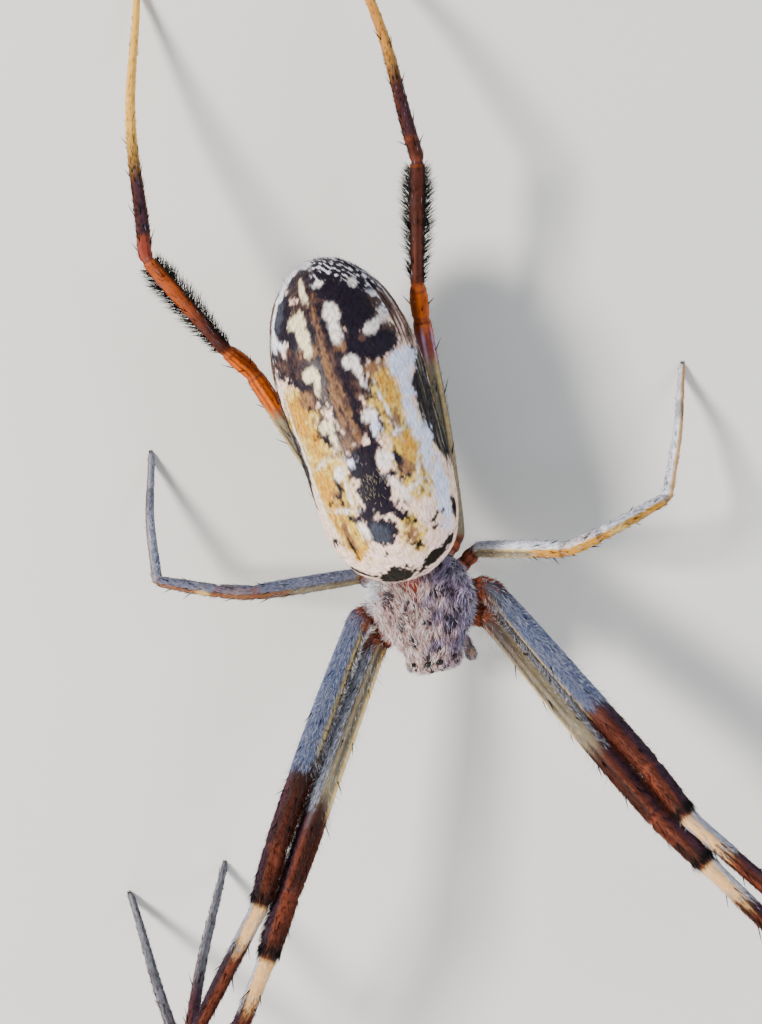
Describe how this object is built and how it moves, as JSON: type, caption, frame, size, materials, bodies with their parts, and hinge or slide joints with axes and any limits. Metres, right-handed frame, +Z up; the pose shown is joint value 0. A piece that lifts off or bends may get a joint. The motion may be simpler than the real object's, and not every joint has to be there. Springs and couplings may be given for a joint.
{
  "type": "golden orb-weaver spider",
  "caption": "Life-size still golden orb-weaver spider standing with its front legs reaching forward and its hind legs trailing behind a long patterned abdomen.",
  "frame": {"origin": "middle of the footprint's box, on the floor that the feet rest on", "axes": "-Y the way the head faces, +X the animal's left side, +Z up from the floor"},
  "size_m": [0.0462, 0.0694, 0.0131],
  "materials": {
    "carapace": "dark shell under dense silver-white hair",
    "abdomen": "smooth skin with cream, golden and blue-black markings",
    "hip": "polished orange-brown shell",
    "leg": "banded shell with silver hair and black bristles",
    "foot": "dark red-brown shell with short bristles",
    "palps": "amber shell, darker towards the tip",
    "chelicerae": "polished near-black shell",
    "fangs": "polished dark red-brown",
    "mouthparts": "dark brown shell with pale edges",
    "spinnerets": "brown skin with short hair",
    "eyes": "clear black lenses"
  },
  "bodies": {
    "root": {"head_and_chest": "carapace", "pedicel": "hip", "abdomen": "abdomen", "spinnerets": "spinnerets", "mouthparts": "mouthparts", "chelicera_left": "chelicerae", "fang_left": "fangs", "palp_left": "palps", "eye_front_middle_left": "eyes", "eye_back_middle_left": "eyes", "eye_front_side_left": "eyes", "eye_back_side_left": "eyes", "coxa_1_left": "hip", "femur_1_left": "leg", "tibia_1_left": "leg", "metatarsus_1_left": "foot", "coxa_2_left": "hip", "femur_2_left": "leg", "tibia_2_left": "leg", "metatarsus_2_left": "foot", "coxa_3_left": "hip", "femur_3_left": "leg", "tibia_3_left": "leg", "metatarsus_3_left": "foot", "coxa_4_left": "hip", "femur_4_left": "leg", "tibia_4_left": "leg", "metatarsus_4_left": "foot", "chelicera_right": "chelicerae", "fang_right": "fangs", "palp_right": "palps", "eye_front_middle_right": "eyes", "eye_back_middle_right": "eyes", "eye_front_side_right": "eyes", "eye_back_side_right": "eyes", "coxa_1_right": "hip", "femur_1_right": "leg", "tibia_1_right": "leg", "metatarsus_1_right": "foot", "coxa_2_right": "hip", "femur_2_right": "leg", "tibia_2_right": "leg", "metatarsus_2_right": "foot", "coxa_3_right": "hip", "femur_3_right": "leg", "tibia_3_right": "leg", "metatarsus_3_right": "foot", "coxa_4_right": "hip", "femur_4_right": "leg", "tibia_4_right": "leg", "metatarsus_4_right": "foot"}
  },
  "joints": []
}
